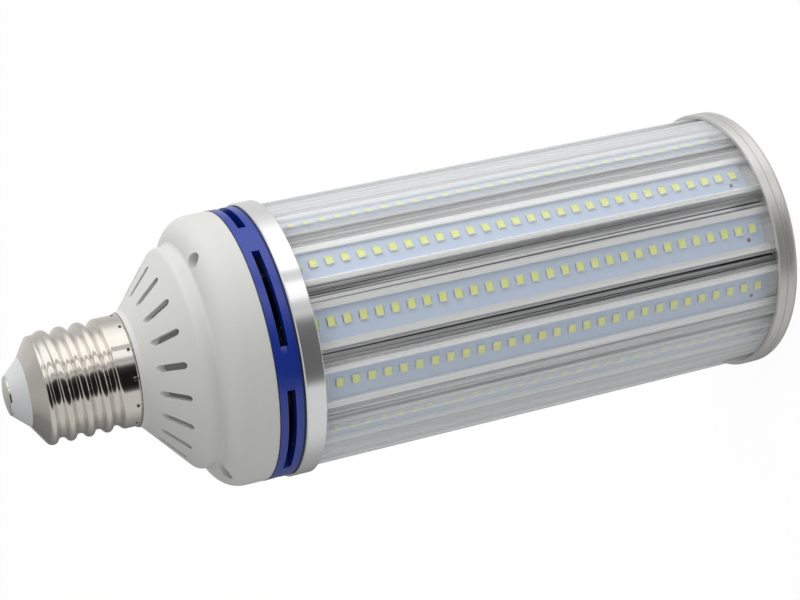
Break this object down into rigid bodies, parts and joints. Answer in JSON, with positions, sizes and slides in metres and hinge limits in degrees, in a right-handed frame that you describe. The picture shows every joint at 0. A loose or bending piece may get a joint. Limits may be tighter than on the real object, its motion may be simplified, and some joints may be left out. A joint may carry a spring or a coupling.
{
  "type": "corn led bulb",
  "caption": "LED corn lamp: clear-covered LED strips round a lobed heat sink, with a blue vent ring, a white driver housing and a large screw cap.",
  "frame": {"origin": "middle of the end cap's outer face, on which the lamp stands", "axes": "+Z along the lamp's axis to the contact tip, +X through the middle of the first strip"},
  "size_m": [0.0986, 0.0986, 0.284],
  "materials": {
    "nickel": "polished plating",
    "ceramic": "matt",
    "housing": "satin moulding",
    "blue": "satin moulding",
    "aluminium": "polished",
    "board": "solder mask on aluminium",
    "led": "phosphor",
    "clear": "clear extrusion",
    "steel": "plain",
    "driver_board": "solder mask",
    "driver_parts": "plain",
    "wire": "insulated wire"
  },
  "bodies": {
    "root": {"contact_tip": "nickel", "cap_insulator": "ceramic", "screw_shell": "nickel", "driver_housing": "housing", "housing_screws": "steel", "vent_ring": "blue", "base_ring": "aluminium", "base_ring_screws": "steel", "heat_sink": "aluminium", "end_cap": "aluminium", "end_cap_screws": "steel", "driver_board": "driver_board", "driver_transformer": "driver_parts", "driver_bridge": "driver_parts", "driver_capacitors": "driver_parts", "driver_choke": "driver_parts", "live_lead": "wire", "neutral_lead": "wire", "strip_leads": "wire", "led_board_01": "board", "led_row_01": "led", "cover_strip_01": "clear", "led_board_02": "board", "led_row_02": "led", "cover_strip_02": "clear", "led_board_03": "board", "led_row_03": "led", "cover_strip_03": "clear", "led_board_04": "board", "led_row_04": "led", "cover_strip_04": "clear", "led_board_05": "board", "led_row_05": "led", "cover_strip_05": "clear", "led_board_06": "board", "led_row_06": "led", "cover_strip_06": "clear", "led_board_07": "board", "led_row_07": "led", "cover_strip_07": "clear", "led_board_08": "board", "led_row_08": "led", "cover_strip_08": "clear", "led_board_09": "board", "led_row_09": "led", "cover_strip_09": "clear", "led_board_10": "board", "led_row_10": "led", "cover_strip_10": "clear", "led_board_11": "board", "led_row_11": "led", "cover_strip_11": "clear", "led_board_12": "board", "led_row_12": "led", "cover_strip_12": "clear"}
  },
  "joints": []
}
